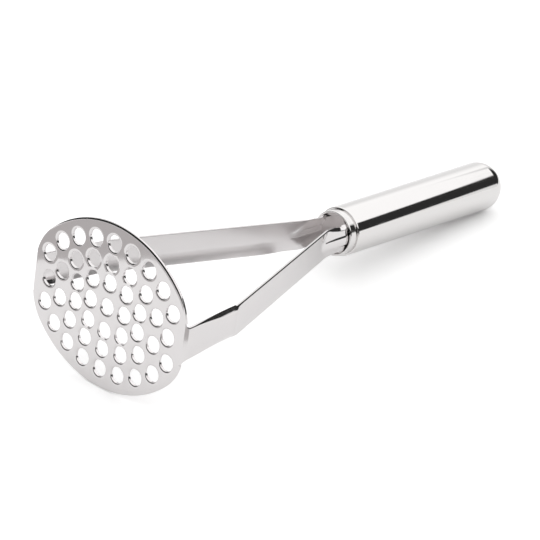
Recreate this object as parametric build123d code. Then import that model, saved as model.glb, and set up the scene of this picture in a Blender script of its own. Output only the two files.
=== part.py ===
from build123d import *
import math
import os

# Potato masher of stainless steel: a perforated oval plate with two strap arms,
# a steel core and a ferrule that hold the arms' tangs, and a closed tube handle.
#
# Each piece is modelled in the tool's own frame, with X along the handle from the
# mashing face, Y along the line that joins the two arms, and Z across the arms.
# Then all of them are laid down together as the tool lies on a table: it rests on
# the lower rim of the plate and on the handle's end, with the long axis level.

# Sheet of the head
sheet = 1.4
strap_width = 14.6
edge_round = 0.4

# Mashing plate: two bowed sides and two straight tips with wide round corners
plate_length = 84.4
plate_width = 72.0
plate_tip_width = 25.7
plate_corner_radius = 22.9
hole_diameter = 7.0
flare_width = 0.9
flare_depth = 0.2

# Hole pattern: three oval rings round a row of three holes, as shares of the
# plate's half length and half width
row_hole_share = 0.224
tip_hole_share = 0.789
ring_long_shares = (0.4525, 0.661, 0.8875)
ring_short_shares = (0.294, 0.52, 0.769)
ring_step_shares = (0.402, 0.277, 0.195)
ring_step_counts = (2, 3, 4)

# Arms, measured on the outside of the straps: how far the root lies outside the
# plate's tip and the shoulder inside the root
root_outset = 0.5
root_bend_radius = 0.5
shoulder_height = 35.7
shoulder_inset = 3.6
shoulder_bend_radius = 3.0
neck_height = 130.0

# Tangs: the ends of the arms, bent to gutters round the handle's axis, with the
# length that shows before the ferrule and the depth inside it
tang_radius = 9.6
tang_show = 20.5
tang_depth = 20.0

# Ferrule, a sleeve that holds the tangs
ferrule_gap = 0.1
ferrule_show = 4.6
ferrule_seat = 24.0
ferrule_round = 0.5

# Core between the tangs
core_recess = 1.8
fit_gap = 0.05

# Handle tube and its end cap
handle_front_diameter = 23.7
handle_end_diameter = 25.5
handle_length = 130.0
handle_wall = 0.9
handle_front_round = 0.6

# One overrun for every cut, and the angle of a quarter turn
overrun = 5.0
quarter_turn = 90

# Places that follow from the sizes
half_length = plate_length / 2
half_width = plate_width / 2
strap_half = strap_width / 2
hole_radius = hole_diameter / 2
root_half_span = half_length + root_outset
shoulder_half_span = root_half_span - shoulder_inset
strap_start = root_half_span - root_bend_radius - 2 * sheet
bore_radius = tang_radius + ferrule_gap
ferrule_front = neck_height + tang_show
tang_end = ferrule_front + tang_depth
tube_front = ferrule_front + ferrule_show
tube_end = tube_front + handle_length
front_radius = handle_front_diameter / 2
end_radius = handle_end_diameter / 2
dome_centre = tube_end - end_radius
ferrule_end = tube_front + ferrule_seat

# Slope of the upper arm towards the axis
fall = math.atan2(shoulder_half_span - tang_radius, neck_height - shoulder_height)


def strap_outside(x):
    """Distance of the upper arm's outer face from the axis at a height above the plate."""
    return tang_radius + (neck_height - x) * math.tan(fall)


def tube_outside(x):
    """Outer radius of the handle tube, which widens evenly towards its end."""
    along = (x - tube_front) / (dome_centre - tube_front)
    return front_radius + (end_radius - front_radius) * along


def ring_places(long_half, short_half, step, count):
    """Holes of one oval ring: from the short axis in even steps, in all four quarters."""
    quarter = EllipticalCenterArc((0, 0), long_half, short_half, arc_size=quarter_turn)
    places = [(0, short_half), (0, -short_half)]
    for number in range(1, count + 1):
        spot = quarter.position_at(1 - step * number)
        places += [(a * spot.X, b * spot.Y) for a in (1, -1) for b in (1, -1)]
    return places


def hole_places():
    """Centres of all the holes, along and across the plate."""
    row = half_length * row_hole_share
    tip = half_length * tip_hole_share
    places = [(0, 0), (row, 0), (-row, 0), (tip, 0), (-tip, 0)]
    rings = zip(ring_long_shares, ring_short_shares, ring_step_shares, ring_step_counts)
    for long_share, short_share, step, count in rings:
        places += ring_places(half_length * long_share, half_width * short_share, step, count)
    return places


def hole_tool():
    """One punched hole as a cutter: a straight bore with a shallow flare at the face."""
    bore = Cylinder(hole_radius, sheet + 2 * overrun)
    # The cone runs as far below the face as above it
    mouth = Cone(hole_radius + 2 * flare_width, hole_radius, 2 * flare_depth)
    return bore + mouth


def plate_outline():
    """The oval of the plate: two bowed sides, two straight tips and round corners."""
    tip = plate_tip_width / 2
    upper = ThreePointArc((-half_length, tip), (0, half_width), (half_length, tip))
    lower = ThreePointArc((-half_length, -tip), (0, -half_width), (half_length, -tip))
    tips = [Line(upper @ 0, lower @ 0), Line(upper @ 1, lower @ 1)]
    face = make_face([upper, lower] + tips)
    return fillet(face.vertices(), plate_corner_radius)


def mashing_plate():
    """Oval plate with a rounded rim, cut back in line with the straps, and its holes."""
    oval = extrude(plate_outline(), sheet)
    oval = fillet(oval.faces().sort_by(Axis.Z)[0].edges(), edge_round)
    oval = fillet(oval.faces().sort_by(Axis.Z)[-1].edges(), edge_round)
    reach = half_length + overrun
    for side in (1, -1):
        notch = Box(reach - strap_start, strap_width, sheet + 2 * overrun)
        oval -= Pos(side * (reach + strap_start) / 2, 0, 0) * notch
    tool = hole_tool()
    oval -= [Pos(a, b, 0) * tool for a, b in hole_places()]
    # Stand the plate up: its length lies along Y and its thickness along X
    return Plane((0, 0, 0), x_dir=(0, 1, 0), z_dir=(1, 0, 0)) * oval


def arm():
    """One strap arm on the +Y side: a flat strap with two bends that ends in a gutter."""
    middle = sheet / 2
    slab_end = neck_height + tang_radius / math.tan(fall) / 2 + overrun
    start = (middle, strap_start)
    root = (middle, root_half_span - middle)
    shoulder = (shoulder_height, shoulder_half_span - middle)
    finish = (slab_end, strap_outside(slab_end) - middle / math.cos(fall))
    radii = [root_bend_radius + middle, shoulder_bend_radius + middle]
    line = FilletPolyline(start, root, shoulder, finish, radius=radii)
    slab = extrude(trace(line, sheet), strap_half, both=True)

    # The gutter starts where the slab has sunk to the tang's radius
    gutter_start = neck_height - 2 * overrun
    length = tang_end - gutter_start
    stand = Plane((gutter_start, 0, 0), x_dir=(0, 1, 0), z_dir=(1, 0, 0))
    outside = stand * extrude(Circle(tang_radius), length)
    inside = stand * extrude(Circle(tang_radius - sheet), length + overrun)
    keep = Pos(gutter_start + length / 2, tang_radius / 2, 0) * Box(length, tang_radius, strap_width)
    # Everything under the slab's inner face is open between the arms
    inner_height = strap_outside(gutter_start) - sheet / math.cos(fall)
    under = Polyline(
        (gutter_start, 0),
        (gutter_start, inner_height),
        (gutter_start + inner_height / math.tan(fall), 0),
        close=True,
    )
    opening = extrude(make_face(under), strap_width, both=True)
    gutter = (outside & keep) - inside - opening
    return (slab - inside) + gutter


def masher_head():
    """The stamped and bent head: plate and both arms in one sheet."""
    strap = arm()
    return mashing_plate() + strap + mirror(strap, Plane.XZ)


def turned(outline):
    """A solid of revolution about the handle's axis from an outline in X and radius."""
    return revolve(make_face(outline), Axis.X)


def ferrule():
    """Sleeve with a rounded front edge, pressed into the mouth of the tube."""
    outer = tube_outside(tube_front) - handle_wall - fit_gap
    deep = tube_outside(ferrule_end) - handle_wall - fit_gap
    outline = Polyline(
        (ferrule_front, bore_radius),
        (ferrule_front, outer),
        (tube_front, outer),
        (ferrule_end, deep),
        (ferrule_end, bore_radius),
        close=True,
    )
    sleeve = turned(outline)
    front_edges = sleeve.edges().filter_by(GeomType.CIRCLE).group_by(Axis.X)[0]
    return fillet(front_edges, ferrule_round)


def tang_core():
    """Steel core that fills the ferrule between the two tangs."""
    length = ferrule_end - ferrule_front - core_recess
    disc = Circle(bore_radius - fit_gap)
    tang_room = Rectangle(2 * bore_radius + overrun, strap_width + 2 * fit_gap)
    tang_room -= Circle(tang_radius - sheet - fit_gap)
    section = disc - tang_room
    stand = Plane((ferrule_front + core_recess, 0, 0), x_dir=(0, 1, 0), z_dir=(1, 0, 0))
    return extrude(stand * section, length)


def handle_tube():
    """Polished tube that widens towards its end, with a rounded front edge."""
    outline = Polyline(
        (tube_front, front_radius - handle_wall),
        (tube_front, front_radius),
        (dome_centre, end_radius),
        (dome_centre, end_radius - handle_wall),
        close=True,
    )
    tube = turned(outline)
    front_edges = tube.edges().filter_by(GeomType.CIRCLE).group_by(Axis.X)[0]
    return fillet(front_edges.sort_by(SortBy.RADIUS)[-1], handle_front_round)


def end_cap():
    """Half-round cap of the tube's thickness, welded on flush and polished over."""
    inner_radius = end_radius - handle_wall
    outer_arc = CenterArc((dome_centre, 0), end_radius, 0, quarter_turn)
    inner_arc = CenterArc((dome_centre, 0), inner_radius, 0, quarter_turn)
    seam = Line(outer_arc @ 1, inner_arc @ 1)
    pole = Line(outer_arc @ 0, inner_arc @ 0)
    return turned([outer_arc, inner_arc, seam, pole])


def lying_place():
    """The move that lays the tool down on its plate's lower rim and its handle's end."""
    rim_x = sheet - edge_round
    rim_z = half_width - edge_round
    reach = math.hypot(dome_centre - rim_x, rim_z)
    tilt = math.atan2(rim_z, dome_centre - rim_x) - math.asin((end_radius - edge_round) / reach)
    rise = rim_x * math.sin(tilt) + rim_z * math.cos(tilt) + edge_round
    far = dome_centre * math.cos(tilt) + end_radius
    near = edge_round * math.cos(tilt) - rim_z * math.sin(tilt) - edge_round
    return Pos(-(far + near) / 2, 0, rise) * Rot(0, math.degrees(tilt), 0)


pieces = {
    "masher_head": masher_head(),
    "tang_core": tang_core(),
    "ferrule": ferrule(),
    "handle_tube": handle_tube(),
    "handle_end_cap": end_cap(),
}

os.makedirs("parts", exist_ok=True)
place = lying_place()
for name, piece in pieces.items():
    export_step(place * piece, f"parts/{name}.step")
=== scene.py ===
"""Stainless steel potato masher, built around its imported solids.

The masher lies on a pale table, on the lower rim of its plate and on the end of its
handle. Sizes and colours are in the property groups, one operator makes each piece,
and one more makes the stage.
"""

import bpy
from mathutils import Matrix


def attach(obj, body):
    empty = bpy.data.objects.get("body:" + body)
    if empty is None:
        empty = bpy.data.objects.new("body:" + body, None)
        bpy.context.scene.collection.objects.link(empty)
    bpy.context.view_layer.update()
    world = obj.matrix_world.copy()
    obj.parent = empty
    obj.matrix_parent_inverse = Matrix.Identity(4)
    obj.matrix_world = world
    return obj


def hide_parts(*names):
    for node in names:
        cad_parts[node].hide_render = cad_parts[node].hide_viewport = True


bl_info = {
    "name": "Potato Masher",
    "version": (1, 0, 0),
    "blender": (4, 5, 0),
    "location": "View3D > Sidebar > Masher",
    "description": "Builds a stainless steel potato masher and the studio it lies in",
    "category": "Object",
}

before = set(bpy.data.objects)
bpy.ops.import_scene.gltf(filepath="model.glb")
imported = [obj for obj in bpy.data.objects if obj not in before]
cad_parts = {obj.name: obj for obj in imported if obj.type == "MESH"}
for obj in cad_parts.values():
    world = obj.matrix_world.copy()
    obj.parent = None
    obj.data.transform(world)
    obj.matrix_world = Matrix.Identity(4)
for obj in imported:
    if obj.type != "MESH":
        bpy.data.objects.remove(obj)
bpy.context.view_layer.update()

import math

import bmesh
import bpy
from bpy.props import FloatProperty, FloatVectorProperty, IntProperty, PointerProperty
from bpy.types import Operator, Panel, PropertyGroup
from mathutils import Euler, Matrix, Vector

MM = 0.001
BODY = "root"


# Colours


def srgb_channel(value):
    """One sRGB channel from 0 to 1, turned to linear."""
    if value <= 0.04045:
        return value / 12.92
    return ((value + 0.055) / 1.055) ** 2.4


def linear(code):
    """A hex colour such as #DDD8D5 as the linear colour that a node takes."""
    code = code.lstrip("#")
    channels = [int(code[k : k + 2], 16) / 255 for k in (0, 2, 4)]
    return tuple(srgb_channel(channel) for channel in channels) + (1.0,)


def length(name, description, millimetres):
    """A length that a user can change, in Blender's units."""
    limits = {"min": 0.0, "unit": "LENGTH", "precision": 5}
    return FloatProperty(name=name, description=description, default=millimetres * MM, **limits)


def colour(name, description, code):
    """A colour that a user can change, kept as linear values."""
    limits = {"size": 4, "min": 0.0, "max": 1.0, "subtype": "COLOR"}
    return FloatVectorProperty(name=name, description=description, default=linear(code), **limits)


def factor(name, description, value, top=1.0):
    """A plain number from zero up."""
    limits = {"min": 0.0, "max": top, "subtype": "FACTOR"}
    return FloatProperty(name=name, description=description, default=value, **limits)


# Sizes and colours


class HeadSettings(PropertyGroup):
    sheet: length("Sheet", "Thickness of the stamped sheet", 1.4)
    edge_round: length("Edge round", "Rounding of the sheet's edges", 0.4)
    plate_length: length("Plate length", "Length of the mashing plate between its tips", 84.4)
    plate_width: length("Plate width", "Width of the mashing plate", 72.0)
    tip_width: length("Tip width", "Height at which the bowed sides meet the tips", 25.7)
    corner_radius: length("Corner radius", "Radius of the plate's wide round corners", 22.9)
    hole_diameter: length("Hole diameter", "Diameter of the punched holes", 7.0)
    flare_width: length("Flare width", "Width of the rolled mouth round each hole", 1.25)
    flare_depth: length("Flare depth", "Depth of the rolled mouth of each hole", 0.5)
    strap_width: length("Strap width", "Width of the two arms", 14.6)
    ridge_half: length("Ridge half", "Distance of the tangs' ridges from their middle", 1.85)
    ledge_width: length("Ledge width", "Width of the step beside each ridge", 0.45)
    ledge_depth: length("Ledge depth", "Depth of the step beside each ridge", 0.4)
    roll_width: length("Roll width", "Width of the arms' rolled edges at the shoulder", 2.2)
    roll_slope: factor("Roll slope", "Slope of the rolled edges on the outside", 0.58)
    inner_slope: factor("Inner roll slope", "Slope of the curled lower edge on the inside", 0.58)
    rim_roll: length("Rim roll", "Width of the plate's rolled rim", 1.4)
    rim_drop: length("Rim drop", "Depth of the plate's rolled rim", 0.3)
    root_web: length("Root web", "Width of the small webs beside each arm's root", 1.8)
    root_outset: length("Root outset", "How far the arms lie outside the plate's tips", 0.5)
    root_bend: length("Root bend", "Inner radius of the bend from plate to arm", 0.5)
    shoulder_height: length("Shoulder height", "Height of the second bend above the plate", 35.7)
    shoulder_inset: length("Shoulder inset", "How far the shoulder lies inside the root", 3.6)
    shoulder_bend: length("Shoulder bend", "Inner radius of the second bend", 3.0)
    neck_height: length("Neck height", "Height at which the arms reach the tangs", 130.0)
    tang_radius: length("Tang radius", "Outer radius of the gutters that the arms end in", 9.6)
    tang_length: length("Tang length", "Length of the gutters past the neck", 40.5)
    tang_depth: length("Tang depth", "Length of the gutters inside the ferrule", 20.0)
    steel: colour("Steel", "Colour of the polished sheet", "#E4E1E1")
    roughness: factor("Roughness", "Roughness of the polished sheet", 0.06)
    inner_dullness: factor("Inner dullness", "Extra roughness on the arms' inner faces", 0.24)


class HandleSettings(PropertyGroup):
    front_diameter: length("Front diameter", "Diameter of the tube at its mouth", 23.7)
    end_diameter: length("End diameter", "Diameter of the tube at its domed end", 25.5)
    tube_front: length("Tube front", "Distance of the mouth from the mashing face", 155.1)
    tube_length: length("Tube length", "Length of the handle with its domed end", 130.0)
    wall: length("Wall", "Thickness of the tube's wall", 0.9)
    front_round: length("Front round", "Rounding of the tube's front edge", 0.6)
    segments: IntProperty(
        name="Segments", description="Facets round the handle", default=160, min=12, max=512
    )
    steel: colour("Steel", "Colour of the mirror polished tube", "#E6E4E3")
    roughness: factor("Roughness", "Roughness of the mirror polished tube", 0.055)


class FerruleSettings(PropertyGroup):
    front: length("Front", "Distance of the ferrule's front from the mashing face", 150.5)
    bore_diameter: length("Bore diameter", "Diameter of the bore that holds the tangs", 19.4)
    show: length("Show", "Length that stands out of the tube", 4.6)
    seat: length("Seat", "Length inside the tube", 24.0)
    round: length("Round", "Rounding of the front edge", 0.5)
    clearance: length("Clearance", "Gap to the tube's inner wall", 0.05)
    steel: colour("Steel", "Colour of the polished sleeve", "#E4E2E1")
    roughness: factor("Roughness", "Roughness of the polished sleeve", 0.08)
    core_steel: colour("Core steel", "Colour of the turned core between the tangs", "#D6D1D0")
    core_roughness: factor("Core roughness", "Roughness of the turned core", 0.3)


class StageSettings(PropertyGroup):
    floor_colour: colour("Floor", "Colour of the pale table", "#F4F4F4")
    floor_glow: factor("Floor glow", "White that the floor shows besides the light on it", 0.04)
    floor_lift: factor("Floor lift", "How much brighter the camera sees the lit floor", 0.28)
    floor_size: length("Floor size", "Length of each side of the table", 6000.0)
    card_colour: colour("Cards", "Colour of the grey cards that the steel mirrors", "#BEBBBB")
    sky_strength: factor("Overhead light", "Strength of the large light overhead", 1.2, 4.0)
    backdrop_strength: factor("Backdrop", "Strength of the white backdrop behind it", 0.9, 4.0)
    dark_strength: factor("Dark side", "Strength of the unlit side of the room", 0.03, 4.0)
    focal_length: FloatProperty(
        name="Focal length", description="Camera's focal length in mm", default=123.333, min=1.0
    )


def settings():
    """The four property groups, on the scene."""
    scene = bpy.context.scene
    return scene.masher_head, scene.masher_handle, scene.masher_ferrule, scene.masher_stage


# Placement


def lying_place(head, handle):
    """The move that lays the masher on its plate's lower rim and its handle's end."""
    end_radius = handle.end_diameter / 2
    dome_centre = handle.tube_front + handle.tube_length - end_radius
    rim_x = head.sheet - head.edge_round
    rim_z = head.plate_width / 2 - head.edge_round
    reach = math.hypot(dome_centre - rim_x, rim_z)
    lean = math.asin((end_radius - head.edge_round) / reach)
    tilt = math.atan2(rim_z, dome_centre - rim_x) - lean
    rise = rim_x * math.sin(tilt) + rim_z * math.cos(tilt) + head.edge_round
    far = dome_centre * math.cos(tilt) + end_radius
    near = head.edge_round * math.cos(tilt) - rim_z * math.sin(tilt) - head.edge_round
    return Matrix.Translation((-(far + near) / 2, 0.0, rise)) @ Matrix.Rotation(tilt, 4, "Y")


# Meshes

# Points closer than this are one point, and a radius below this lies on the axis
MERGE_GAP = 0.0005 * MM
AXIS_RADIUS = 1e-9

# Faces that meet at more than this angle, in degrees, keep a sharp edge
CREASE_ANGLE = 27


def finished_piece(name, work, place, material, *nodes):
    """Makes a bmesh a piece in its place, which rides on the body and replaces nodes."""
    mesh = closed_mesh(name, work, place)
    polish_normals(mesh)
    mesh.materials.append(material)
    piece = bpy.data.objects.new(name, mesh)
    bpy.context.collection.objects.link(piece)
    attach(piece, BODY)
    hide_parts(*nodes)
    return piece


def closed_mesh(name, work, place):
    """A bmesh merged, turned outwards and laid in place, as a mesh."""
    bmesh.ops.remove_doubles(work, verts=work.verts, dist=MERGE_GAP)
    bmesh.ops.recalc_face_normals(work, faces=work.faces)
    if work.calc_volume(signed=True) < 0:
        bmesh.ops.reverse_faces(work, faces=work.faces)
    bmesh.ops.transform(work, matrix=place, verts=work.verts)
    mesh = bpy.data.meshes.new(name)
    work.to_mesh(mesh)
    work.free()
    return mesh


def polish_normals(mesh):
    """Shades flats as flat and rounds as round: at each corner the largest faces lead."""
    work = bmesh.new()
    work.from_mesh(mesh)
    work.faces.ensure_lookup_table()
    limit = math.cos(math.radians(CREASE_ANGLE))
    normals = [face.normal.copy() for face in work.faces]
    weights = [(face.calc_area() / MM**2) ** 3 for face in work.faces]
    corners = []
    for face in work.faces:
        own = normals[face.index]
        for loop in face.loops:
            total = Vector((0.0, 0.0, 0.0))
            for other in loop.vert.link_faces:
                if normals[other.index].dot(own) > limit:
                    total += normals[other.index] * weights[other.index]
            corners.append(total.normalized() if total.length > 0 else own)
    work.free()
    mesh.shade_smooth()
    mesh.normals_split_custom_set(corners)


def add_lathe(work, profile, segments):
    """Turns a closed outline of (x, radius) points about the X axis into a surface."""
    rings = []
    for x, radius in profile:
        if radius < AXIS_RADIUS:
            rings.append([work.verts.new((x, 0.0, 0.0))])
            continue
        ring = []
        for k in range(segments):
            angle = 2 * math.pi * k / segments
            ring.append(work.verts.new((x, radius * math.cos(angle), radius * math.sin(angle))))
        rings.append(ring)
    for first, second in zip(rings, rings[1:]):
        for k in range(segments):
            after = (k + 1) % segments
            corners = [first[k % len(first)], first[after % len(first)]]
            corners += [second[after % len(second)], second[k % len(second)]]
            unique = list(dict.fromkeys(corners))
            if len(unique) > 2:
                work.faces.new(unique)


def quarter(steps):
    """Sine and cosine at even steps of a quarter turn."""
    angles = [math.pi / 2 * k / steps for k in range(steps + 1)]
    return [(math.sin(angle), math.cos(angle)) for angle in angles]


def arc_points(centre_x, centre_r, radius, start, stop, count):
    """Points of an arc in an outline of (x, radius) points, angles in degrees."""
    points = []
    for k in range(count + 1):
        angle = math.radians(start + (stop - start) * k / count)
        points.append((centre_x + radius * math.cos(angle), centre_r + radius * math.sin(angle)))
    return points


def run_points(start, stop, shares):
    """Points at given shares of the way between two ends."""
    run_x, run_r = stop[0] - start[0], stop[1] - start[1]
    return [(start[0] + run_x * share, start[1] + run_r * share) for share in shares]


# Nodes


def add_node(tree, kind, links=None, **options):
    """Adds a node, sets its options and inputs, and links what is a socket."""
    node = tree.nodes.new(kind)
    for name, value in options.items():
        setattr(node, name, value)
    for key, value in (links or {}).items():
        socket = node.inputs[key]
        if isinstance(value, bpy.types.NodeSocket):
            tree.links.new(value, socket)
        else:
            socket.default_value = value
    return node


def result(tree, kind, links=None, **options):
    """Adds a node and gives its first output."""
    return add_node(tree, kind, links, **options).outputs[0]


def calc(tree, operation, *values):
    """The result of a math node on numbers and sockets."""
    return result(tree, "ShaderNodeMath", dict(enumerate(values)), operation=operation)


def vector(tree, operation, links):
    """The result of a vector math node."""
    return result(tree, "ShaderNodeVectorMath", links, operation=operation)


def ranged(tree, value, before, after, **options):
    """A value taken from one range to another and held at its ends."""
    links = {"Value": value, "From Min": before[0], "From Max": before[1]}
    links.update({"To Min": after[0], "To Max": after[1]})
    return result(tree, "ShaderNodeMapRange", links, **options)


def joined(tree, *parts):
    """Several parts as one geometry."""
    node = add_node(tree, "GeometryNodeJoinGeometry")
    for part in parts:
        tree.links.new(part, node.inputs[0])
    return node.outputs[0]


def radians(*angles):
    """Angles in degrees, turned to radians."""
    return [math.radians(angle) for angle in angles]


# Arms

# Steps of the mesh round a bend and round the sheet's edge, and along a straight run
BEND_STEPS = 10
EDGE_STEPS = 5
RUN_STEP = 2.0 * MM
RUN_MARGIN = 0.15 * MM

# Rolled outer edges: their width at the root, where it grows, how much narrower they are
# past the shoulder and how much wider at the ferrule
ROOT_ROLL = 0.6 * MM
ROLL_GROWS = (2 * MM, 28 * MM)
ROLL_LOSS = 1.7 * MM
ROLL_GAIN = 1.6 * MM

# The roll starts softly, over a strip this wide to each side of its crease, and at most
# this share of the roll
CREASE_REACH = 0.18 * MM
CREASE_SHARE = 0.4

# Width of the curl inside the lower edge, and how far before the neck it starts to fade
INNER_ROLL = 6 * MM
INNER_FADE = 16 * MM

# The webs beside the root narrow only after this way, where the bend passes the rim
WEB_START = 0.8 * MM

# The tangs lie this much inside their full radius, fall away this steeply beside the
# ledges, and their face meets the arm's over this blend
TANG_SINK = 0.2 * MM
TANG_SLOPE = 0.306
FACE_BLEND = 0.7 * MM

# From this far before the neck the arm has fine rows, this far apart and this many
FINE_START = 4 * MM
FINE_STEP = 0.35 * MM
FINE_ROWS = 49


def bent_line(corners, radii):
    """A polyline with its corners bent: (x, y, tangent x, tangent y) along its middle."""
    stations = []
    points = [Vector(corner) for corner in corners]
    position = points[0]
    for index in range(1, len(points) - 1):
        radius = radii[index - 1]
        before = (points[index] - points[index - 1]).normalized()
        after = (points[index + 1] - points[index]).normalized()
        turn = before.angle(after)
        reach = radius * math.tan(turn / 2)
        start = points[index] - before * reach
        stations += straight_run(position, start, before)
        side = math.copysign(1.0, before.x * after.y - before.y * after.x)
        across = Vector((-before.y, before.x)) * side
        centre = start + across * radius
        for k in range(BEND_STEPS + 1):
            angle = turn * k / BEND_STEPS
            direction = before * math.cos(angle) + across * math.sin(angle)
            offset = -across * math.cos(angle) + before * math.sin(angle)
            spot = centre + offset * radius
            stations.append((spot.x, spot.y, direction.x, direction.y))
        position = points[index] + after * reach
    last = (points[-1] - points[-2]).normalized()
    stations += straight_run(position, points[-1], last)
    return stations


def straight_run(start, stop, direction):
    """Stations inside a straight run, close to its ends and then in even steps."""
    span = (stop - start).length
    margin = min(RUN_MARGIN, span / 3)
    count = max(1, round((span - 2 * margin) / RUN_STEP))
    stations = []
    for k in range(count + 1):
        spot = start + direction * (margin + (span - 2 * margin) * k / count)
        stations.append((spot.x, spot.y, direction.x, direction.y))
    return stations


def strap_stations(head, half, rounding, roll):
    """Places across a strap's face, close together at the ridges and the rolled edges."""
    flat = half - rounding
    crease = half - roll
    near = min(CREASE_REACH, CREASE_SHARE * (flat - crease))
    ridge, ledge = head.ridge_half, head.ridge_half + head.ledge_width
    places = [ridge / 3, ridge * 2 / 3, ridge, ledge]
    places += [ledge + (crease - near - ledge) * k / 4 for k in (1, 2, 3, 4)]
    places += [crease + near + (flat - crease - near) * k / 3 for k in (0, 1, 2, 3)]
    return [-place for place in reversed(places)] + [0.0] + places


def section_points(head, half, rounding, roll, tilt, inner_tilt):
    """The strap's section, edges rounded and rolled: (z, depth from the outer face)."""
    sheet = head.sheet
    flat = half - rounding
    across = strap_stations(head, half, rounding, roll)
    turn = [(rounding * rising, rounding * falling) for rising, falling in quarter(EDGE_STEPS)]
    points = [(z, 0.0) for z in across]
    points += [(flat + rising, rounding - falling) for rising, falling in turn[1:]]
    points += [(flat + falling, sheet - rounding + rising) for rising, falling in turn]
    points += [(z, sheet) for z in reversed(across[:-1])]
    points += [(-flat - rising, sheet - rounding + falling) for rising, falling in turn[1:]]
    points += [(-flat - falling, rounding - rising) for rising, falling in turn[:-1]]
    # The outer face falls away at both edges, and the inner one curls at the lower edge
    rolled = []
    for z, depth in points:
        outer = max(abs(z) - (half - roll), 0.0) * tilt
        inner = max(-z - (half - INNER_ROLL), 0.0) ** 2 * inner_tilt / (2 * INNER_ROLL)
        share = depth / sheet
        rolled.append((z, depth + outer * (1 - share) + inner * share))
    return rolled


def smooth_share(value, start, stop):
    """Goes smoothly from 0 at start to 1 at stop."""
    share = min(max((value - start) / (stop - start), 0.0), 1.0)
    return share * share * (3 - 2 * share)


def ferrule_place(head):
    """Where the ferrule's front meets the tangs."""
    return head.neck_height + head.tang_length - head.tang_depth


def roll_at(head, x):
    """Width of the rolled edge: it grows to the shoulder and again to the ferrule."""
    neck, ferrule, shoulder = head.neck_height, ferrule_place(head), head.shoulder_height
    lower = ROOT_ROLL + (head.roll_width - ROOT_ROLL) * smooth_share(x, *ROLL_GROWS)
    upper = lower - ROLL_LOSS * smooth_share(x, shoulder - MM, shoulder + 2 * MM)
    return upper + ROLL_GAIN * smooth_share(x, neck + 3 * MM, ferrule - 3 * MM)


def inner_tilt_at(head, x):
    """Slope of the inner curl, which fades towards the neck."""
    neck = head.neck_height
    return 1 - smooth_share(x, neck - INNER_FADE, neck)


def tang_face(head, x, z):
    """The gutter: round between two ridges, flat and a little recessed beside them."""
    ferrule = ferrule_place(head)
    radius = head.tang_radius - TANG_SINK
    across = abs(z)
    depth = math.sqrt(radius**2 - min(across, head.ridge_half) ** 2)
    depth -= head.ledge_depth * min(max(across - head.ridge_half, 0.0) / head.ledge_width, 1.0)
    depth -= max(across - head.ridge_half - head.ledge_width, 0.0) * TANG_SLOPE
    limit = min(depth, math.sqrt(head.tang_radius**2 - z * z))
    return depth + (limit - depth) * smooth_share(x, ferrule - 9 * MM, ferrule - 0.2 * MM)


def upper_face(head, slope, x, z):
    """Outer face of the upper arm and the tang, as a distance from the axis."""
    plane = head.tang_radius + (head.neck_height - x) * slope
    gutter = tang_face(head, x, z)
    mix = max(FACE_BLEND - abs(plane - gutter), 0.0) / FACE_BLEND
    return max(plane, gutter) + mix * mix * FACE_BLEND / 4


def lower_rows(head, stations):
    """Sections of the arm from its root to near the neck, square to its course."""
    middle, half, web = head.sheet / 2, head.strap_width / 2, head.root_web
    rows = []
    travelled = 0.0
    before = stations[0][:2]
    for number, (x, y, dir_x, dir_y) in enumerate(stations):
        travelled += math.dist(before, (x, y))
        before = (x, y)
        share = min(1.0, number / BEND_STEPS)
        # A small web of sheet joins each edge to the plate, round like a fillet
        left = min(max(web + WEB_START - travelled, 0.0), web)
        wide = half + web - math.sqrt(web**2 - left**2)
        out_x, out_y = -dir_y, dir_x
        tilts = (head.roll_slope * share, head.inner_slope * share * inner_tilt_at(head, x))
        section = section_points(head, wide, head.edge_round * share, roll_at(head, x), *tilts)
        row = []
        for z, depth in section:
            row.append((x + out_x * (middle - depth), y + out_y * (middle - depth), z))
        rows.append(row)
    return rows


def upper_rows(head, start, slope):
    """Sections of the arm from near the neck to the tang's end inside the ferrule."""
    neck, ferrule, half = head.neck_height, ferrule_place(head), head.strap_width / 2
    places = [start + 0.3 * MM + FINE_STEP * k for k in range(FINE_ROWS)]
    places += [neck + 14 * MM + run * MM for run in (1.0, 2.5, 4.0)]
    places += [ferrule - 2 * MM + 0.2 * MM * k for k in range(12)]
    places += [ferrule + run * MM for run in (1.0, 4.0, 9.0, 14.0)] + [neck + head.tang_length]
    step = 0.02 * MM
    rows = []
    for x in places:
        # The roll fades out at the ferrule, which fits round the tang
        fade = 1 - smooth_share(x, ferrule - 3 * MM, ferrule - 0.5 * MM)
        tilts = (head.roll_slope * fade, head.inner_slope * fade * inner_tilt_at(head, x))
        row = []
        for z, depth in section_points(head, half, head.edge_round, roll_at(head, x), *tilts):
            spots = ((x, z), (x + step, z), (x - step, z), (x, z + step), (x, z - step))
            y, ahead, behind, above, below = [upper_face(head, slope, *spot) for spot in spots]
            slopes = ((behind - ahead) / (2 * step), 1.0, (below - above) / (2 * step))
            normal = Vector(slopes).normalized()
            row.append((x - normal.x * depth, y - normal.y * depth, z - normal.z * depth))
        rows.append(row)
    return rows


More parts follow.
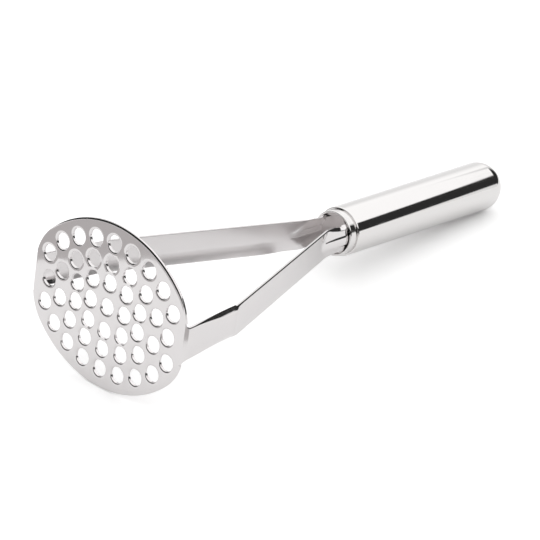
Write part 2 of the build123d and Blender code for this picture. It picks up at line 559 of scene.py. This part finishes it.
def add_arm(work, head, side):
    """One arm, from the root bend to the gutter in the ferrule: where its bend starts."""
    middle = head.sheet / 2
    root_y = head.plate_length / 2 + head.root_outset
    shoulder_y = root_y - head.shoulder_inset
    rise = head.neck_height - head.shoulder_height
    slope = (shoulder_y - head.tang_radius) / rise
    start = (middle, root_y / 2)
    root = (middle, root_y - middle)
    shoulder = (head.shoulder_height, shoulder_y - middle)
    finish = (head.neck_height, head.tang_radius - middle / math.cos(math.atan(slope)))
    radii = (head.root_bend + middle, head.shoulder_bend + middle)
    stations = bent_line((start, root, shoulder, finish), radii)
    # The flat start belongs to the plate, and the part near the neck has its own rows
    bend_start = next(k for k, station in enumerate(stations) if abs(station[3]) < 0.9999)
    fine_start = head.neck_height - FINE_START
    stations = [station for station in stations[bend_start - 1 :] if station[0] < fine_start]
    rows = lower_rows(head, stations) + upper_rows(head, fine_start, slope)
    count = len(rows[0])
    verts = [[work.verts.new((x, side * y, z)) for x, y, z in row] for row in rows]
    for first, second in zip(verts, verts[1:]):
        for k in range(count):
            after = (k + 1) % count
            work.faces.new((first[k], first[after], second[after], second[k]))
    work.faces.new(verts[-1])
    return stations[0][1]


# Plate

# Points on each round corner and on each bowed side
CORNER_POINTS = 16
SIDE_POINTS = 48

# Hole pattern, in shares of the plate's half length and half width: the row of three and
# the tips, and three oval rings with their step, as a share of a quarter, and its count
ROW_SHARE = 0.224
TIP_SHARE = 0.789
RINGS = ((0.4525, 0.294, 0.402, 2), (0.661, 0.52, 0.277, 3), (0.8875, 0.769, 0.195, 4))
ARC_SAMPLES = 2000

# Facets of a hole. Its lining runs in shares of the mouth's width, the mouth's depth and
# the sheet: the mouth is a quarter of an ellipse, and the far edge is barely broken
FACETS = 48
LINING = [(1 - rising, 1 - falling, 0.0) for rising, falling in quarter(7)]
LINING += [(0.0, 0.0, 0.9), (0.035, 0.0, 0.965), (0.12, 0.0, 1.0)]

# Rounding of the rim's front edge below its roll, and steps of the roll
FRONT_ROUND = 0.12 * MM
RIM_STEPS = 6


def oval_points(head, tab_half):
    """Upper half of the plate's outline, from tip to tip above the arms, with normals."""
    half_length = head.plate_length / 2
    half_width = head.plate_width / 2
    tip = head.tip_width / 2
    bow = half_width - tip
    side_radius = (half_length**2 + bow**2) / (2 * bow)
    corner = head.corner_radius
    side_centre = half_width - side_radius
    corner_y = half_length - corner
    corner_z = side_centre + math.sqrt((side_radius - corner) ** 2 - corner_y**2)
    points = []
    low = math.asin((tab_half - corner_z) / corner) if tab_half > corner_z else 0.0
    high = math.atan2(corner_z - side_centre, corner_y)
    for k in range(CORNER_POINTS + 1):
        angle = low + (high - low) * k / CORNER_POINTS
        across, up = math.cos(angle), math.sin(angle)
        points.append((corner_y + corner * across, corner_z + corner * up, across, up))
    for k in range(1, SIDE_POINTS + 1):
        angle = high + (math.pi - 2 * high) * k / SIDE_POINTS
        across, up = math.cos(angle), math.sin(angle)
        points.append((side_radius * across, side_centre + side_radius * up, across, up))
    for y, z, across, up in reversed(points[:CORNER_POINTS]):
        points.append((-y, z, -across, up))
    return points


def hole_places(head):
    """Centres of the holes: three oval rings of even arc steps round a row of three."""
    half_length = head.plate_length / 2
    half_width = head.plate_width / 2
    row, tip = half_length * ROW_SHARE, half_length * TIP_SHARE
    places = [(0.0, 0.0), (row, 0.0), (-row, 0.0), (tip, 0.0), (-tip, 0.0)]
    for long_share, short_share, step, count in RINGS:
        long_half, short_half = half_length * long_share, half_width * short_share
        places += [(0.0, short_half), (0.0, -short_half)]
        travelled = [0.0]
        spots = []
        for k in range(ARC_SAMPLES + 1):
            angle = math.pi / 2 * (1 - k / ARC_SAMPLES)
            spots.append((long_half * math.cos(angle), short_half * math.sin(angle)))
            if k:
                travelled.append(travelled[-1] + math.dist(spots[-1], spots[-2]))
        for number in range(1, count + 1):
            target = travelled[-1] * step * number
            index = next(k for k, run in enumerate(travelled) if run >= target)
            y, z = spots[index]
            places += [(a * y, b * z) for a in (1, -1) for b in (1, -1)]
    return places


def perforation_tree(material):
    """Geometry nodes that fill an outline, leave holes at its points and line them."""
    tree = bpy.data.node_groups.new("Perforated sheet", "GeometryNodeTree")
    face = tree.interface
    face.new_socket("Geometry", in_out="INPUT", socket_type="NodeSocketGeometry")
    for name in ("Hole Radius", "Flare Width", "Flare Depth", "Sheet"):
        socket = face.new_socket(name, in_out="INPUT", socket_type="NodeSocketFloat")
        socket.subtype = "DISTANCE"
    face.new_socket("Facets", in_out="INPUT", socket_type="NodeSocketInt")
    face.new_socket("Geometry", in_out="OUTPUT", socket_type="NodeSocketGeometry")
    given = add_node(tree, "NodeGroupInput").outputs
    radius, flare = given["Hole Radius"], given["Flare Width"]
    deep, sheet = given["Flare Depth"], given["Sheet"]

    # Loose points are the hole centres, and the closed edge loop is the outline
    neighbours = add_node(tree, "GeometryNodeInputMeshVertexNeighbors").outputs["Vertex Count"]
    none = {2: neighbours, 3: 0}
    loose = result(tree, "FunctionNodeCompare", none, data_type="INT", operation="EQUAL")
    alone = {"Mesh": given["Geometry"], "Selection": loose}
    centres = result(tree, "GeometryNodeMeshToPoints", alone)
    outline = result(tree, "GeometryNodeMeshToCurve", {"Mesh": given["Geometry"]})

    def at_centres(shape):
        """One copy of a shape at every hole's centre."""
        links = {"Points": centres, "Instance": shape}
        return result(tree, "GeometryNodeInstanceOnPoints", links)

    def real(parts):
        """Copies made into geometry of their own."""
        return result(tree, "GeometryNodeRealizeInstances", {"Geometry": parts})

    def filled(hole_radius, height):
        """One flat face of the sheet with a round opening at every centre."""
        size = {"Resolution": given["Facets"], "Radius": hole_radius}
        circle = result(tree, "GeometryNodeCurvePrimitiveCircle", size)
        both = joined(tree, outline, real(at_centres(circle)))
        fill = result(tree, "GeometryNodeFillCurve", {"Curve": both})
        lift = result(tree, "ShaderNodeCombineXYZ", {"Z": height})
        return result(tree, "GeometryNodeSetPosition", {"Geometry": fill, "Offset": lift})

    # Each step of the lining grows from the last, outward from the hole's own centre
    place = result(tree, "GeometryNodeInputPosition")
    level = vector(tree, "MULTIPLY", {0: place, 1: (1.0, 1.0, 0.0)})
    outward = vector(tree, "NORMALIZE", {0: level})
    first = calc(tree, "ADD", radius, flare)
    ring = {"Vertices": given["Facets"], "Radius": first}
    mesh, top = result(tree, "GeometryNodeMeshCircle", ring), True
    for wide, low, down in LINING[1:]:
        extra = calc(tree, "MULTIPLY_ADD", flare, wide, radius)
        drop = calc(tree, "MULTIPLY_ADD", sheet, down, calc(tree, "MULTIPLY", deep, low))
        lift = result(tree, "ShaderNodeCombineXYZ", {"Z": drop})
        spot = vector(tree, "SCALE", {0: outward, "Scale": extra})
        spot = vector(tree, "ADD", {0: spot, 1: lift})
        grown = {"Mesh": mesh, "Selection": top, "Offset Scale": 0.0}
        grown = add_node(tree, "GeometryNodeExtrudeMesh", grown, mode="EDGES").outputs
        top = grown["Top"]
        moved = {"Geometry": grown["Mesh"], "Selection": top, "Position": spot}
        mesh = result(tree, "GeometryNodeSetPosition", moved)
    back_radius = calc(tree, "MULTIPLY_ADD", flare, LINING[-1][0], radius)
    front = result(tree, "GeometryNodeFlipFaces", {"Mesh": filled(first, 0.0)})
    whole = joined(tree, front, filled(back_radius, sheet), at_centres(mesh))
    dressed = {"Geometry": real(whole), "Material": material}
    steel = result(tree, "GeometryNodeSetMaterial", dressed)
    add_node(tree, "NodeGroupOutput", {"Geometry": steel})
    return tree


def perforated_faces(head, outline, centres, material):
    """Runs the perforation tree on an outline and its hole centres, as a plain mesh."""
    base = bpy.data.meshes.new("plate outline")
    verts = [(y, z, 0.0) for y, z in outline] + [(y, z, 0.0) for y, z in centres]
    edges = [(k, (k + 1) % len(outline)) for k in range(len(outline))]
    base.from_pydata(verts, edges, [])
    holder = bpy.data.objects.new("plate outline", base)
    bpy.context.collection.objects.link(holder)
    tree = perforation_tree(material)
    modifier = holder.modifiers.new("Perforated sheet", "NODES")
    modifier.node_group = tree
    values = {
        "Hole Radius": head.hole_diameter / 2,
        "Flare Width": head.flare_width,
        "Flare Depth": head.flare_depth,
        "Sheet": head.sheet,
        "Facets": FACETS,
    }
    for item in tree.interface.items_tree:
        if item.in_out == "INPUT" and item.name in values:
            modifier[item.identifier] = values[item.name]
    evaluated = holder.evaluated_get(bpy.context.evaluated_depsgraph_get())
    mesh = bpy.data.meshes.new_from_object(evaluated)
    bpy.data.objects.remove(holder)
    return mesh


def rim_profile(head):
    """The plate's rim from its front to its back: (way in from the outline, depth)."""
    sheet, rounding, wide, drop = head.sheet, head.edge_round, head.rim_roll, head.rim_drop
    roll = wide - FRONT_ROUND
    # The front rolls down ever more steeply, and the two edges are broken round
    shares = [k / RIM_STEPS for k in range(RIM_STEPS + 1)]
    profile = [(wide - roll * share, drop * share**2) for share in shares]
    for rising, falling in quarter(3)[1:]:
        profile.append((FRONT_ROUND * (1 - rising), drop + FRONT_ROUND * (1 - falling)))
    for rising, falling in quarter(4):
        profile.append((rounding * (1 - falling), sheet - rounding * (1 - rising)))
    return profile + [(wide, sheet)]


def add_plate(work, head, bend_y, material):
    """The perforated plate with its rounded rim and the notches that the arms leave."""
    half = head.strap_width / 2 + head.root_web
    upper = oval_points(head, half)
    # At the notches the rim's rounding stays in the notch's own plane
    upper[0] = upper[0][:2] + (1.0, 0.0)
    upper[-1] = upper[-1][:2] + (-1.0, 0.0)
    roll = head.rim_roll
    inner = [(y - across * roll, z - up * roll) for y, z, across, up in upper]
    tab = strap_stations(head, half, 0.0, ROOT_ROLL)[::-1]
    outline = inner + [(-bend_y, z) for z in tab]
    outline += [(y, -z) for y, z in reversed(inner)] + [(bend_y, -z) for z in tab]
    faces = perforated_faces(head, outline, hole_places(head), material)
    start = len(work.verts)
    work.from_mesh(faces)
    work.verts.ensure_lookup_table()
    for vert in work.verts[start:]:
        vert.co = vert.co.zxy
    profile = rim_profile(head)
    for flip in (1, -1):
        rows = []
        for y, z, across, up in upper:
            row = [(deep, y - across * inward, z - up * inward) for inward, deep in profile]
            rows.append([work.verts.new((px, py, flip * pz)) for px, py, pz in row])
        for first, second in zip(rows, rows[1:]):
            for k in range(len(first) - 1):
                work.faces.new((first[k], first[k + 1], second[k + 1], second[k]))
        for row, sign in ((rows[0], 1), (rows[-1], -1)):
            notch = [(x, sign * bend_y, flip * half) for x in (head.sheet, 0.0)]
            work.faces.new(row + [work.verts.new(corner) for corner in notch])


# Materials

# A wave texture of scale 1 repeats after this length
WAVE_PERIOD = 0.314

# Inner faces look towards the middle by this much, and lie past this place on the arms
INWARD = (-0.4, -0.7)
PAST_PLATE = (-134 * MM, -128 * MM)


def metal(name, tint, roughness):
    """A new material with one metallic shader, its tree, that shader and coordinates."""
    material = bpy.data.materials.new(name)
    material.use_nodes = True
    tree = material.node_tree
    tree.nodes.clear()
    links = {"Base Color": tint, "Metallic": 1.0, "Roughness": roughness}
    shader = add_node(tree, "ShaderNodeBsdfPrincipled", links)
    add_node(tree, "ShaderNodeOutputMaterial", {"Surface": shader.outputs[0]})
    return material, tree, shader, add_node(tree, "ShaderNodeTexCoord").outputs


def mapped(tree, place, **inputs):
    """Coordinates that are moved, turned or scaled."""
    return result(tree, "ShaderNodeMapping", {"Vector": place, **inputs})


def noise(tree, place, grain, detail, roughness=0.5):
    """Noise whose grain has a real size."""
    links = {"Vector": place, "Scale": 1 / grain, "Detail": detail, "Roughness": roughness}
    return result(tree, "ShaderNodeTexNoise", links)


def drawn_rings(tree, spot, place, spacing, share, detail):
    """Fine rings round the handle's axis: noise drawn out round it by a share."""
    along = mapped(tree, spot, Rotation=tuple(place.inverted().to_euler()))
    return noise(tree, mapped(tree, along, Scale=(1.0, share, share)), spacing, detail)


def mark_surface(tree, shader, roughness, height, strength, depth):
    """Gives the shader its roughness pattern and the fine marks in its surface."""
    tree.links.new(roughness, shader.inputs["Roughness"])
    links = {"Height": height, "Strength": strength, "Distance": depth}
    tree.links.new(result(tree, "ShaderNodeBump", links), shader.inputs["Normal"])


def satin_sheet(head):
    """Polished stainless sheet: rolled, stamped and buffed.

    It mirrors the room softly. The buffing leaves faint lines along the arms, and
    handling leaves slightly duller patches.
    """
    base = head.roughness
    material, tree, shader, coordinates = metal("Buffed stainless sheet", head.steel, base)
    place = coordinates["Object"]
    # Buffing lines are about 0.1 mm apart, drawn at 0.5 mm so that they show
    line_spacing = 0.5 * MM
    lines = noise(tree, mapped(tree, place, Scale=(0.04, 1.0, 1.0)), line_spacing, 2.0)
    # Duller patches are a finger's width
    patches = noise(tree, place, 14 * MM, 3.0, 0.6)
    spread = ranged(tree, patches, (0.3, 0.7), (base * 0.85, base * 1.25))
    fine = calc(tree, "MULTIPLY_ADD", lines, 0.02, spread)
    # The wheel reaches the arms' inner faces less well, so they are duller
    parts = add_node(tree, "ShaderNodeSeparateXYZ", {0: place}).outputs
    facing = add_node(tree, "ShaderNodeSeparateXYZ", {0: coordinates["Normal"]}).outputs
    inward = calc(tree, "MULTIPLY", calc(tree, "SIGN", parts["Y"]), facing["Y"])
    inside = ranged(tree, inward, INWARD, (0.0, 1.0))
    past_plate = ranged(tree, parts["X"], PAST_PLATE, (0.0, 1.0))
    dull = calc(tree, "MULTIPLY", inside, past_plate)
    whole = calc(tree, "MULTIPLY_ADD", dull, head.inner_dullness, fine)
    mark_surface(tree, shader, whole, lines, 0.06, 0.01 * MM)
    return material


def mirror_tube(handle, place):
    """Mirror polished stainless tube: drawn, belt ground and buffed on a wheel.

    It gives clear reflections, with the faintest rings round it left by the wheel.
    """
    base = handle.roughness
    material, tree, shader, spots = metal("Mirror polished stainless tube", handle.steel, base)
    spot = spots["Object"]
    # Wheel marks are about 0.05 mm apart, drawn at 0.4 mm so that they show
    ring_spacing = 0.4 * MM
    rings = drawn_rings(tree, spot, place, ring_spacing, 0.03, 1.0)
    # The haze that handling leaves is a thumb's width
    haze = noise(tree, spot, 18 * MM, 4.0, 0.55)
    spread = ranged(tree, haze, (0.35, 0.7), (base * 0.8, base * 1.4))
    mark_surface(tree, shader, spread, rings, 0.03, 0.01 * MM)
    return material


def polished_sleeve(ferrule, place):
    """Polished stainless sleeve: turned, then buffed, with fine rings left by the tool."""
    base = ferrule.roughness
    material, tree, shader, spots = metal("Polished stainless sleeve", ferrule.steel, base)
    # Turning marks are about 0.1 mm apart, drawn at 0.35 mm so that they show
    ring_spacing = 0.35 * MM
    rings = drawn_rings(tree, spots["Object"], place, ring_spacing, 0.05, 2.0)
    spread = ranged(tree, rings, (0.3, 0.7), (base * 0.75, base * 1.75))
    mark_surface(tree, shader, spread, rings, 0.08, 0.01 * MM)
    return material


def turned_core(ferrule, place):
    """Turned stainless core: left as it came off the lathe, greyer, with face rings."""
    base = ferrule.core_roughness
    material, tree, shader, spots = metal("Turned stainless core", ferrule.core_steel, base)
    spot = spots["Object"]
    back = place.inverted()
    move = {"Location": tuple(back.translation), "Rotation": tuple(back.to_euler())}
    # The tool's spiral is about 0.15 mm apart, drawn at 0.6 mm so that it shows
    ring_spacing = 0.6 * MM
    wave = {"Vector": mapped(tree, spot, **move), "Scale": WAVE_PERIOD / ring_spacing}
    wave.update({"Distortion": 0.6, "Detail": 2.0})
    rings = add_node(tree, "ShaderNodeTexWave", wave, wave_type="RINGS", rings_direction="X")
    shade = ranged(tree, noise(tree, spot, 3 * MM, 4.0), (0.3, 0.7), (base, base * 1.5))
    mark_surface(tree, shader, shade, rings.outputs["Fac"], 0.25, 0.02 * MM)
    return material


# Operators

# Shares along the handle's taper that keep its long flat and its ends crisp
TAPER_SHARES = (0.0005, 0.002, 0.25, 0.5, 0.75, 0.99, 0.996)


class MASHER_OT_head(Operator):
    """Makes the perforated plate and its two arms as one sheet"""

    bl_idname = "masher.head"
    bl_label = "Head"

    def execute(self, context):
        head, handle, _, _ = settings()
        place = lying_place(head, handle)
        material = satin_sheet(head)
        work = bmesh.new()
        bend_y = add_arm(work, head, 1)
        add_arm(work, head, -1)
        add_plate(work, head, bend_y, material)
        piece = finished_piece("mashing_head", work, place, material, "masher_head")
        return {"FINISHED"}


class MASHER_OT_handle(Operator):
    """Makes the polished tube with its domed end"""

    bl_idname = "masher.handle"
    bl_label = "Handle"

    def execute(self, context):
        head, handle, _, _ = settings()
        place = lying_place(head, handle)
        front, end = handle.front_diameter / 2, handle.end_diameter / 2
        wall, bend = handle.wall, handle.front_round
        mouth = handle.tube_front
        dome = mouth + handle.tube_length - end
        profile = arc_points(dome, 0.0, end, 0, 90, 40)
        taper_top = (mouth + bend, front + (end - front) * bend / (dome - mouth))
        profile += run_points((dome, end), taper_top, TAPER_SHARES)
        profile += arc_points(mouth + bend, taper_top[1] - bend, bend, 90, 180, 10)
        profile += [(mouth, front - wall), (dome, end - wall)]
        profile += arc_points(dome, 0.0, end - wall, 90, 0, 16)[1:]
        profile = [(x, max(radius, 0.0)) for x, radius in profile]
        work = bmesh.new()
        add_lathe(work, profile, handle.segments)
        material = mirror_tube(handle, place)
        nodes = ("handle_tube", "handle_end_cap")
        piece = finished_piece("polished_handle", work, place, material, *nodes)
        return {"FINISHED"}


class MASHER_OT_ferrule(Operator):
    """Makes the sleeve at the handle's mouth and finishes the core inside it"""

    bl_idname = "masher.ferrule"
    bl_label = "Ferrule and core"

    def execute(self, context):
        head, handle, ferrule, _ = settings()
        place = lying_place(head, handle)
        bore = ferrule.bore_diameter / 2
        front = ferrule.front
        mouth = front + ferrule.show
        end = mouth + ferrule.seat
        outer = handle.front_diameter / 2 - handle.wall - ferrule.clearance
        bend = ferrule.round
        profile = [(end, bore), (end, outer), (mouth, outer)]
        profile += run_points((mouth, outer), (front + bend, outer), (0.1, 0.5, 0.95))
        profile += arc_points(front + bend, outer - bend, bend, 90, 180, 8)
        profile += arc_points(front + bend, bore + bend, bend, 180, 270, 8)
        profile += run_points((front + bend, bore), (end, bore), (0.01, 0.5)) + [(end, bore)]
        work = bmesh.new()
        add_lathe(work, profile, handle.segments)
        material = polished_sleeve(ferrule, place)
        piece = finished_piece("polished_ferrule", work, place, material, "ferrule")
        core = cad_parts["tang_core"]
        material = turned_core(ferrule, place)
        for slot in core.material_slots:
            slot.material = material
        return {"FINISHED"}


class MASHER_OT_stage(Operator):
    """Makes the pale table, the studio light and the camera"""

    bl_idname = "masher.stage"
    bl_label = "Stage"

    def execute(self, context):
        _, _, _, stage = settings()
        make_floor(stage)
        make_cards(stage)
        make_studio(stage)
        make_camera(stage)
        context.scene.view_settings.view_transform = "Standard"
        return {"FINISHED"}


# Stage

# Corners of the grey cards on the table, in mm from under the plate's middle
FAR_CARD = ((-10, 145), (-420, -4), (-900, -4), (-900, 900), (-10, 900))
NEAR_CARD = ((-96, -78), (-61, -115), (-15, -126), (26, -114))
NEAR_CARD += ((50, -92), (160, -400), (-400, -400), (-300, -140))
UNDER_PLATE = -140 * MM
CARD_HEIGHT = 0.5 * MM

# Edges in the studio, in degrees. Compass angles run from +X towards +Y, and heights
# from the table up. The overhead light's rim goes from one height to another, and a
# white card stands low on the right and falls away from its middle.
OVERHEAD_EDGE = (12, 26)
BACKDROP_RIGHT = (3, 18)
BACKDROP_LEFT = (108, 116)
RIM_COMPASS = (-30, -7)
RIM_HEIGHTS = (22, 29)
LOW_CARD_COMPASS = -32
LOW_CARD_HEIGHT = 8
LOW_CARD_FALL = -1.1

# Place in mm and turn in degrees of the camera, and the width of its film in mm
CAMERA_PLACE = (-624.876, -450.951, 387.836)
CAMERA_TURN = (63.4287, -5.3771, -49.9163)
FILM_WIDTH = 36.0


def stage_sheet(name, corners):
    """A flat sheet of the stage with an empty material: the object and its tree."""
    mesh = bpy.data.meshes.new(name)
    mesh.from_pydata(corners, [], [tuple(range(len(corners)))])
    material = bpy.data.materials.new(name)
    material.use_nodes = True
    material.node_tree.nodes.clear()
    mesh.materials.append(material)
    sheet = bpy.data.objects.new(name, mesh)
    bpy.context.collection.objects.link(sheet)
    return sheet, material.node_tree


def make_floor(stage):
    """The pale table top, which the camera sees a little brighter than it is lit."""
    half = stage.floor_size / 2
    corners = [(-half, -half, 0), (half, -half, 0), (half, half, 0), (-half, half, 0)]
    _, tree = stage_sheet("Matt white table top", corners)
    rays = add_node(tree, "ShaderNodeLightPath").outputs
    seen = rays["Is Camera Ray"]
    for kind in ("Is Glossy Ray", "Is Transmission Ray"):
        seen = calc(tree, "MAXIMUM", seen, rays[kind])
    amount = calc(tree, "MULTIPLY", seen, stage.floor_glow)
    glow = result(tree, "ShaderNodeEmission", {"Strength": amount})
    lift = calc(tree, "MULTIPLY_ADD", rays["Is Camera Ray"], stage.floor_lift, 1.0)
    shade = vector(tree, "SCALE", {0: tuple(stage.floor_colour)[:3], "Scale": lift})
    matt = result(tree, "ShaderNodeBsdfDiffuse", {"Color": shade})
    both = result(tree, "ShaderNodeAddShader", {0: matt, 1: glow})
    add_node(tree, "ShaderNodeOutputMaterial", {"Surface": both})


def make_cards(stage):
    """Two grey cards on the table, seen only as a reflection in the steel.

    The far one darkens the upper part of the plate, and the near one the bend below.
    """
    for name, shape in (("Far grey card", FAR_CARD), ("Near grey card", NEAR_CARD)):
        corners = [(UNDER_PLATE + x * MM, y * MM, CARD_HEIGHT) for x, y in shape]
        card, tree = stage_sheet(name, corners)
        matt = result(tree, "ShaderNodeBsdfDiffuse", {"Color": stage.card_colour})
        add_node(tree, "ShaderNodeOutputMaterial", {"Surface": matt})
        for ray in ("camera", "diffuse", "transmission", "shadow"):
            setattr(card, f"visible_{ray}", False)


def make_studio(stage):
    """The studio as the world: a light overhead, a backdrop behind and an unlit side."""
    world = bpy.data.worlds.new("Studio")
    world.use_nodes = True
    bpy.context.scene.world = world
    tree = world.node_tree
    tree.nodes.clear()
    direction = add_node(tree, "ShaderNodeTexCoord").outputs["Generated"]
    parts = add_node(tree, "ShaderNodeSeparateXYZ", {0: direction}).outputs
    height = calc(tree, "ARCSINE", parts["Z"])
    compass = calc(tree, "ARCTAN2", parts["Y"], parts["X"])

    def step(value, start, stop):
        """0 before start and 1 after stop, in degrees."""
        edges = radians(start, stop)
        return ranged(tree, value, edges, (0.0, 1.0), interpolation_type="SMOOTHSTEP")

    def mixed(share, first, second):
        """Goes from the first value to the second as the share goes from 0 to 1."""
        return result(tree, "ShaderNodeMix", {0: share, 2: first, 3: second}, data_type="FLOAT")

    def less(first, second):
        """The first value less the second."""
        return calc(tree, "MULTIPLY_ADD", second, -1.0, first)

    def above(edge):
        """0 below an edge in radians and 1 above it, half a degree soft each way."""
        return step(less(height, edge), -0.5, 0.5)

    # White from the table up to the overhead light, which is brighter
    lit = step(height, *OVERHEAD_EDGE)
    white = mixed(lit, stage.backdrop_strength, stage.sky_strength)
    # The backdrop stands behind the masher, and the room beside it is unlit
    right_edge = step(compass, *BACKDROP_RIGHT)
    left_edge = step(compass, *BACKDROP_LEFT)
    behind = less(right_edge, calc(tree, "MULTIPLY", right_edge, left_edge))
    # The overhead light's rim hangs lower towards the right
    rim = ranged(tree, compass, radians(*RIM_COMPASS), radians(*RIM_HEIGHTS))
    # A white card stands low on the right
    away = calc(tree, "ABSOLUTE", calc(tree, "ADD", compass, -math.radians(LOW_CARD_COMPASS)))
    slanted = calc(tree, "MULTIPLY_ADD", away, LOW_CARD_FALL, math.radians(LOW_CARD_HEIGHT))
    low_edge = calc(tree, "MAXIMUM", slanted, 0.0)
    dark = calc(tree, "MULTIPLY", less(1.0, above(rim)), above(low_edge))
    unlit = calc(tree, "MULTIPLY", dark, less(1.0, behind))
    light = mixed(unlit, white, stage.dark_strength)
    rays = add_node(tree, "ShaderNodeLightPath").outputs
    shown = mixed(rays["Is Camera Ray"], light, 1.0)
    plain = {"Color": (1.0, 1.0, 1.0, 1.0), "Strength": shown}
    add_node(tree, "ShaderNodeOutputWorld", {"Surface": result(tree, "ShaderNodeBackground", plain)})


def make_camera(stage):
    """The camera at the photograph's place, found from the holes, rim, arms and handle."""
    data = bpy.data.cameras.new("Camera")
    data.sensor_width = FILM_WIDTH
    data.lens = stage.focal_length
    data.clip_start = 10 * MM
    camera = bpy.data.objects.new("Camera", data)
    camera.location = Vector(CAMERA_PLACE) * MM
    camera.rotation_euler = Euler(radians(*CAMERA_TURN))
    bpy.context.collection.objects.link(camera)
    bpy.context.scene.camera = camera


# Panel and registration


class MASHER_PT_panel(Panel):
    """Lists the pieces of the masher and their sizes"""

    bl_idname = "MASHER_PT_panel"
    bl_label = "Potato Masher"
    bl_space_type = "VIEW_3D"
    bl_region_type = "UI"
    bl_category = "Masher"

    def draw(self, context):
        layout = self.layout
        for group, operator in zip(settings(), STEPS):
            box = layout.box()
            box.operator(operator)
            for name in group.__annotations__:
                box.prop(group, name)


GROUPS = {
    "masher_head": HeadSettings,
    "masher_handle": HandleSettings,
    "masher_ferrule": FerruleSettings,
    "masher_stage": StageSettings,
}
STEPS = ("masher.head", "masher.handle", "masher.ferrule", "masher.stage")
CLASSES = tuple(GROUPS.values()) + (
    MASHER_OT_head,
    MASHER_OT_handle,
    MASHER_OT_ferrule,
    MASHER_OT_stage,
    MASHER_PT_panel,
)


def register():
    for cls in CLASSES:
        bpy.utils.register_class(cls)
    for name, group in GROUPS.items():
        setattr(bpy.types.Scene, name, PointerProperty(type=group))


def unregister():
    for name in GROUPS:
        delattr(bpy.types.Scene, name)
    for cls in reversed(CLASSES):
        bpy.utils.unregister_class(cls)


def main():
    register()
    bpy.ops.masher.head()
    bpy.ops.masher.handle()
    bpy.ops.masher.ferrule()
    bpy.ops.masher.stage()


if __name__ == "__main__":
    main()
